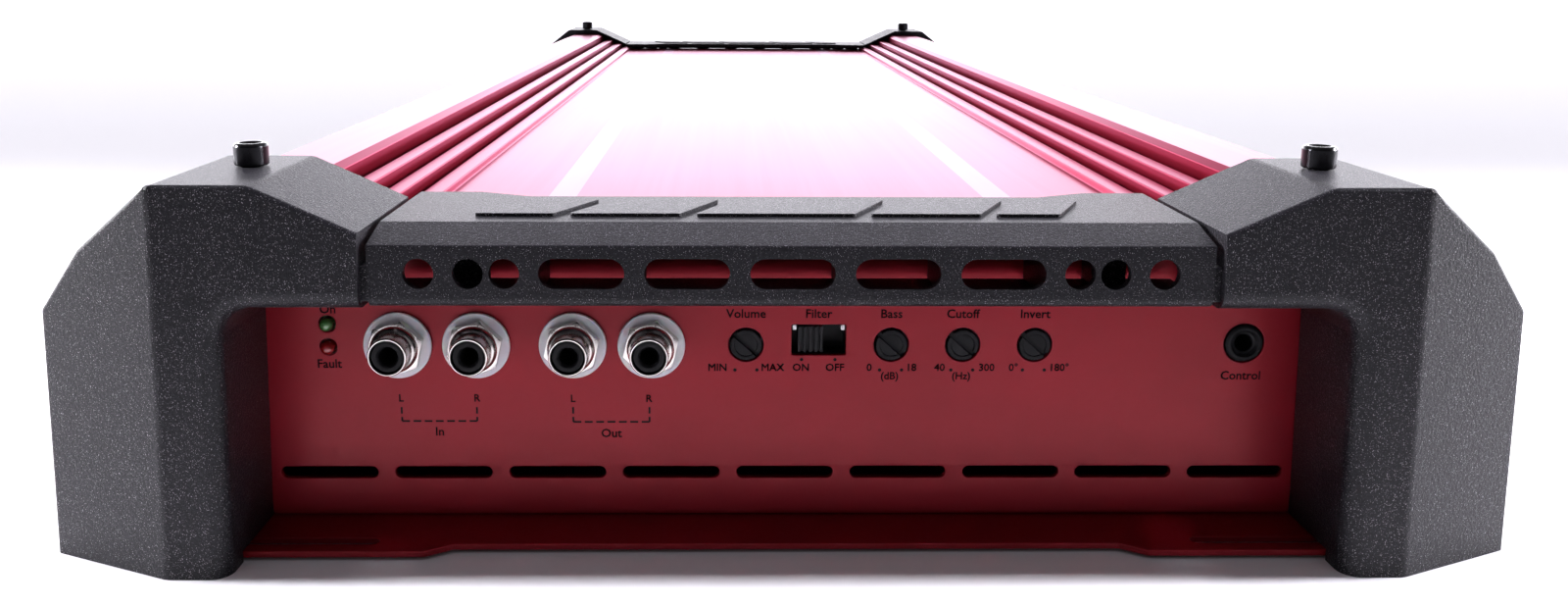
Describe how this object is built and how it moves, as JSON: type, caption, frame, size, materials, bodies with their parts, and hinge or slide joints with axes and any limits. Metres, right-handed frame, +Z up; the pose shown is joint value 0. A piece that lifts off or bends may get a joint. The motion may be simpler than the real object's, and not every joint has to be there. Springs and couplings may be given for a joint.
{
  "type": "car audio amplifier",
  "caption": "Long low car audio amplifier: finned red heatsink between moulded charcoal end caps, with jacks, trimmers and a slide switch on a recessed front panel.",
  "frame": {"origin": "on the surface the amplifier stands on, under the middle of the case", "axes": "+Z up, +Y along the case from the control end to the terminal end, +X to the right as the control end is faced"},
  "size_m": [0.308, 0.696, 0.0857],
  "materials": {
    "red_anodised": "glossy wine-red anodising",
    "red_sheet": "satin wine-red paint",
    "charcoal_moulding": "pebbled charcoal with fine sparkle",
    "black_nickel": "black nickel",
    "nickel_plate": "bright nickel",
    "black_plastic": "satin black",
    "slider_plastic": "ribbed black",
    "white_washer": "off-white",
    "green_lens": "unlit green",
    "red_lens": "unlit red",
    "pot_case": "moulded blue-black",
    "circuit_board": "green solder mask",
    "coil_copper": "enamelled copper wire",
    "capacitor_sleeve": "shrunk sleeve",
    "clamp_steel": "bright zinc"
  },
  "bodies": {
    "chassis": {"heatsink": "red_anodised", "bottom_plate": "red_sheet", "front_panel": "red_sheet", "rear_panel": "red_sheet", "corner_block_front_left": "charcoal_moulding", "corner_block_front_right": "charcoal_moulding", "corner_block_rear_left": "charcoal_moulding", "corner_block_rear_right": "charcoal_moulding", "front_bridge": "charcoal_moulding", "rear_bridge": "charcoal_moulding", "corner_screw_front_left": "black_nickel", "corner_screw_front_right": "black_nickel", "corner_screw_rear_left": "black_nickel", "corner_screw_rear_right": "black_nickel", "rca_shell_input_left": "nickel_plate", "rca_shell_input_right": "nickel_plate", "rca_shell_output_left": "nickel_plate", "rca_shell_output_right": "nickel_plate", "rca_insulator_input_left": "black_plastic", "rca_insulator_input_right": "black_plastic", "rca_insulator_output_left": "black_plastic", "rca_insulator_output_right": "black_plastic", "rca_washer_input_left": "white_washer", "rca_washer_input_right": "white_washer", "rca_washer_output_left": "white_washer", "rca_washer_output_right": "white_washer", "power_led": "green_lens", "protection_led": "red_lens", "remote_socket": "black_plastic", "level_pot": "pot_case", "bass_boost_pot": "pot_case", "low_pass_pot": "pot_case", "phase_pot": "pot_case", "switch_body": "black_plastic", "power_terminal_block": "black_plastic", "speaker_terminal_block": "black_plastic", "power_clamp_screw_1": "nickel_plate", "power_clamp_screw_2": "nickel_plate", "power_clamp_screw_3": "nickel_plate", "speaker_clamp_screw_1": "nickel_plate", "speaker_clamp_screw_2": "nickel_plate", "speaker_clamp_screw_3": "nickel_plate", "speaker_clamp_screw_4": "nickel_plate", "main_board": "circuit_board", "control_board": "circuit_board", "toroid_front": "coil_copper", "toroid_middle": "coil_copper", "output_coil": "coil_copper", "capacitor_front": "capacitor_sleeve", "capacitor_rear": "capacitor_sleeve", "transistor_clamp_left": "clamp_steel", "transistor_clamp_right": "clamp_steel", "transistor_left": "black_plastic", "transistor_right": "black_plastic"},
    "level_trimmer": {"level_knob": "black_plastic"},
    "bass_boost_trimmer": {"bass_boost_knob": "black_plastic"},
    "low_pass_trimmer": {"low_pass_knob": "black_plastic"},
    "phase_trimmer": {"phase_knob": "black_plastic"},
    "switch_slider": {"switch_slider": "slider_plastic"}
  },
  "joints": [
    {"name": "level_turn", "type": "hinge", "parent": "chassis", "child": "level_trimmer", "pos_m": [-0.0087, -0.3217, 0.0416], "axis": [0, 1, 0], "range_deg": [-110, 200]},
    {"name": "bass_boost_turn", "type": "hinge", "parent": "chassis", "child": "bass_boost_trimmer", "pos_m": [0.0229, -0.3217, 0.0416], "axis": [0, 1, 0], "range_deg": [-110, 200]},
    {"name": "low_pass_turn", "type": "hinge", "parent": "chassis", "child": "low_pass_trimmer", "pos_m": [0.0385, -0.3217, 0.0416], "axis": [0, 1, 0], "range_deg": [-110, 200]},
    {"name": "phase_turn", "type": "hinge", "parent": "chassis", "child": "phase_trimmer", "pos_m": [0.0542, -0.3217, 0.0416], "axis": [0, 1, 0], "range_deg": [-110, 200]},
    {"name": "switch_slide", "type": "slide", "parent": "chassis", "child": "switch_slider", "axis": [1, 0, 0], "range_m": [0, 0.0036]}
  ]
}
